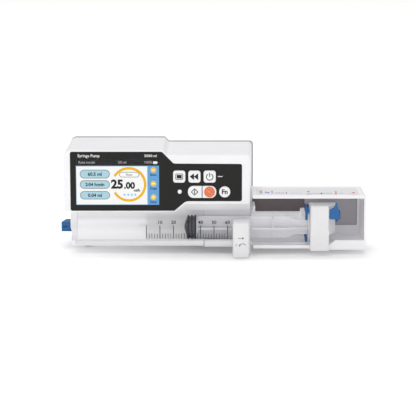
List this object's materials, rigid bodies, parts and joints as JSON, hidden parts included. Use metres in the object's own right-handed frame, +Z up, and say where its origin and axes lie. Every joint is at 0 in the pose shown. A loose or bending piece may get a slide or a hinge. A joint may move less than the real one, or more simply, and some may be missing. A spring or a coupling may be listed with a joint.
{
  "type": "syringe infusion pump",
  "caption": "Bench-top syringe infusion pump with a loaded syringe, display panel, pusher carriage, barrel clamp and side latch.",
  "frame": {"origin": "centre of the bounding box's bottom face, on the surface that the feet rest on", "axes": "+Z up, +X along the syringe towards the pusher, front panel faces -Y"},
  "size_m": [0.3524, 0.142, 0.1216],
  "materials": {
    "black_panel": "satin",
    "black_plastic": "matte",
    "black_rubber": "matte",
    "blue_plastic": "satin",
    "brass": "satin",
    "circuit_board": "satin",
    "clear_plastic": "gloss",
    "dark_metal": "satin",
    "grey_plastic": "satin",
    "grey_rubber": "matte",
    "key_white": "satin",
    "label": "satin",
    "screen": "satin",
    "screen_glass": "gloss",
    "steel": "satin",
    "warm_white_plastic": "satin",
    "white_plastic": "satin"
  },
  "bodies": {
    "pump_body": {"base_cradle": "white_plastic", "base_pan": "white_plastic", "battery_pack": "blue_plastic", "clamp_bush": "brass", "clamp_housing": "white_plastic", "cradle_end": "white_plastic", "data_port": "dark_metal", "display_module": "screen", "display_window": "screen_glass", "drive_frame": "steel", "drive_tray": "white_plastic", "flange_post": "white_plastic", "foot_back_left": "grey_rubber", "foot_back_right": "grey_rubber", "foot_front_left": "grey_rubber", "foot_front_right": "grey_rubber", "front_case": "white_plastic", "front_panel": "black_panel", "guide_rod": "steel", "key_board": "circuit_board", "latch_guide": "grey_plastic", "main_board": "circuit_board", "mains_inlet": "black_plastic", "power_supply": "dark_metal", "rear_case": "warm_white_plastic", "screw_bearing_left": "steel", "screw_bearing_right": "steel", "speaker": "black_plastic", "status_light": "key_white", "stepper_motor": "dark_metal", "syringe_barrel": "clear_plastic", "tray_back_panel": "grey_plastic", "tray_label": "label"},
    "screw": {"lead_screw": "steel", "screw_gear": "brass"},
    "pinion": {"motor_pinion": "brass"},
    "carriage": {"carriage": "grey_plastic", "drive_tube": "white_plastic", "tube_collar": "white_plastic", "pusher_front_case": "white_plastic", "pusher_rear_case": "white_plastic", "force_plate": "grey_plastic"},
    "plunger": {"syringe_plunger": "clear_plastic", "plunger_stopper": "black_rubber"},
    "lever": {"release_lever": "blue_plastic", "release_rod": "steel"},
    "upper_claw": {"claw_upper": "blue_plastic"},
    "lower_claw": {"claw_lower": "blue_plastic"},
    "nut": {"half_nut": "brass"},
    "clamp_rod": {"clamp_shaft": "steel"},
    "clamp": {"clamp_block": "white_plastic"},
    "latch": {"stack_latch": "blue_plastic"},
    "key_menu_body": {"key_menu": "key_white"},
    "key_rewind_body": {"key_rewind": "key_white"},
    "key_power_body": {"key_power": "key_white"},
    "key_start_body": {"key_start": "key_white"},
    "key_stop_body": {"key_stop": "key_white"},
    "key_function_body": {"key_function": "key_white"}
  },
  "joints": [
    {"name": "screw_spin", "type": "hinge", "parent": "pump_body", "child": "screw", "pos_m": [-0.10725, 0.022, 0.028], "axis": [1, 0, 0], "range_deg": [-7741, 4501]},
    {"name": "carriage_slide", "type": "slide", "parent": "pump_body", "child": "carriage", "axis": [1, 0, 0], "range_m": [-0.043, 0.025]},
    {"name": "plunger_slide", "type": "slide", "parent": "pump_body", "child": "plunger", "axis": [1, 0, 0], "range_m": [-0.043, 0.025]},
    {"name": "pinion_spin", "type": "hinge", "parent": "pump_body", "child": "pinion", "pos_m": [-0.10725, 0.038, 0.028], "axis": [1, 0, 0], "range_deg": [-13503, 23223]},
    {"name": "lever_turn", "type": "hinge", "parent": "carriage", "child": "lever", "pos_m": [0.14675, -0.005, 0.0354], "axis": [1, 0, 0], "range_deg": [0, 18], "stiffness_Nm_per_rad": 0.4, "springref_deg": -8.59},
    {"name": "claw_upper_turn", "type": "hinge", "parent": "carriage", "child": "upper_claw", "pos_m": [0.10975, -0.017, 0.0505], "axis": [1, 0, 0], "range_deg": [-30, 0]},
    {"name": "claw_lower_turn", "type": "hinge", "parent": "carriage", "child": "lower_claw", "pos_m": [0.10975, -0.013, 0.02], "axis": [1, 0, 0], "range_deg": [0, 10]},
    {"name": "half_nut_slide", "type": "slide", "parent": "carriage", "child": "nut", "axis": [0, 0, -1], "range_m": [0, 0.0025]},
    {"name": "clamp_pull", "type": "slide", "parent": "pump_body", "child": "clamp_rod", "axis": [0, -1, 0], "range_m": [0, 0.015], "stiffness_N_per_m": 300, "springref_m": -0.01},
    {"name": "clamp_turn", "type": "hinge", "parent": "clamp_rod", "child": "clamp", "pos_m": [0.03285, -0.06, 0.0108], "axis": [0, -1, 0], "range_deg": [0, 90]},
    {"name": "latch_slide", "type": "slide", "parent": "pump_body", "child": "latch", "axis": [1, 0, 0], "range_m": [0, 0.005], "stiffness_N_per_m": 600},
    {"name": "menu_press", "type": "slide", "parent": "pump_body", "child": "key_menu_body", "axis": [0, 1, 0], "range_m": [0, 0.0006], "stiffness_N_per_m": 1500},
    {"name": "rewind_press", "type": "slide", "parent": "pump_body", "child": "key_rewind_body", "axis": [0, 1, 0], "range_m": [0, 0.0006], "stiffness_N_per_m": 1500},
    {"name": "power_press", "type": "slide", "parent": "pump_body", "child": "key_power_body", "axis": [0, 1, 0], "range_m": [0, 0.0006], "stiffness_N_per_m": 1500},
    {"name": "start_press", "type": "slide", "parent": "pump_body", "child": "key_start_body", "axis": [0, 1, 0], "range_m": [0, 0.0006], "stiffness_N_per_m": 1500},
    {"name": "stop_press", "type": "slide", "parent": "pump_body", "child": "key_stop_body", "axis": [0, 1, 0], "range_m": [0, 0.0006], "stiffness_N_per_m": 1500},
    {"name": "function_press", "type": "slide", "parent": "pump_body", "child": "key_function_body", "axis": [0, 1, 0], "range_m": [0, 0.0006], "stiffness_N_per_m": 1500}
  ],
  "couplings": [
    {"joint": "screw_spin", "follows": "carriage_slide", "rad_per_m": 3141.6},
    {"joint": "plunger_slide", "follows": "carriage_slide", "ratio": 1},
    {"joint": "pinion_spin", "follows": "carriage_slide", "rad_per_m": -9424.8},
    {"joint": "claw_upper_turn", "follows": "lever_turn", "ratio": -1.6667},
    {"joint": "claw_lower_turn", "follows": "lever_turn", "ratio": 0.55556},
    {"joint": "half_nut_slide", "follows": "lever_turn", "m_per_rad": 0.0079577}
  ]
}
